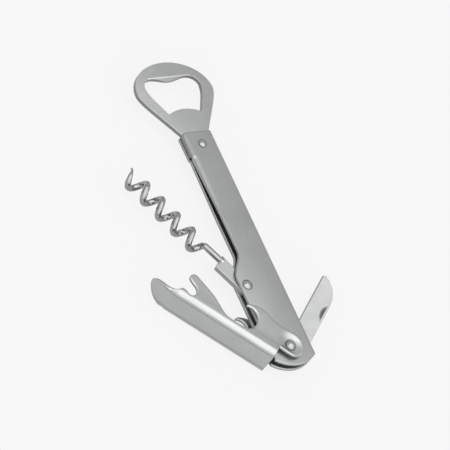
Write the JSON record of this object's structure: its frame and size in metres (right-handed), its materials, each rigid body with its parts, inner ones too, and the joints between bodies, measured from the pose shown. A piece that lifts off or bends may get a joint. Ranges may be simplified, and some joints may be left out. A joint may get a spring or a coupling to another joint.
{
  "type": "waiters friend corkscrew",
  "caption": "Folding waiter's corkscrew in stainless steel: folded channel handle with a crown cap opener head, pivoting wire worm, folded lever with bottle hooks and a foil knife.",
  "frame": {"origin": "centre of the bounding box at its lowest level", "axes": "+X along the handle to the opener's end, +Y to the side the worm and the lever swing out on, +Z along the hinge rivets; the tool lies on its side"},
  "size_m": [0.1472, 0.0846, 0.014],
  "materials": {
    "satin_steel": "satin brushed stainless sheet",
    "polished_steel": "polished stainless steel"
  },
  "bodies": {
    "handle": {"handle_channel": "satin_steel", "opener_plate": "satin_steel", "lever_rivet": "polished_steel", "worm_rivet": "polished_steel", "tang_rivet": "polished_steel", "knife_washer_near": "satin_steel", "knife_washer_far": "satin_steel"},
    "worm": {"worm": "polished_steel"},
    "lever": {"lever_channel": "satin_steel"},
    "knife": {"knife_blade": "polished_steel"}
  },
  "joints": [
    {"name": "lever_pivot", "type": "hinge", "parent": "handle", "child": "lever", "pos_m": [-0.06537, -0.0059, 0.00701], "axis": [0, 0, 1], "range_deg": [-36.5, 127]},
    {"name": "worm_pivot", "type": "hinge", "parent": "handle", "child": "worm", "pos_m": [-0.03457, -0.0001, 0.00701], "axis": [0, 0, 1], "range_deg": [-26.3, 91.3]},
    {"name": "knife_pivot", "type": "hinge", "parent": "handle", "child": "knife", "pos_m": [-0.06537, -0.0059, 0.00701], "axis": [0, 0, 1], "range_deg": [-131, 38]}
  ],
  "couplings": [
    {"joint": "worm_pivot", "follows": "lever_pivot", "ratio": 0.7178}
  ]
}
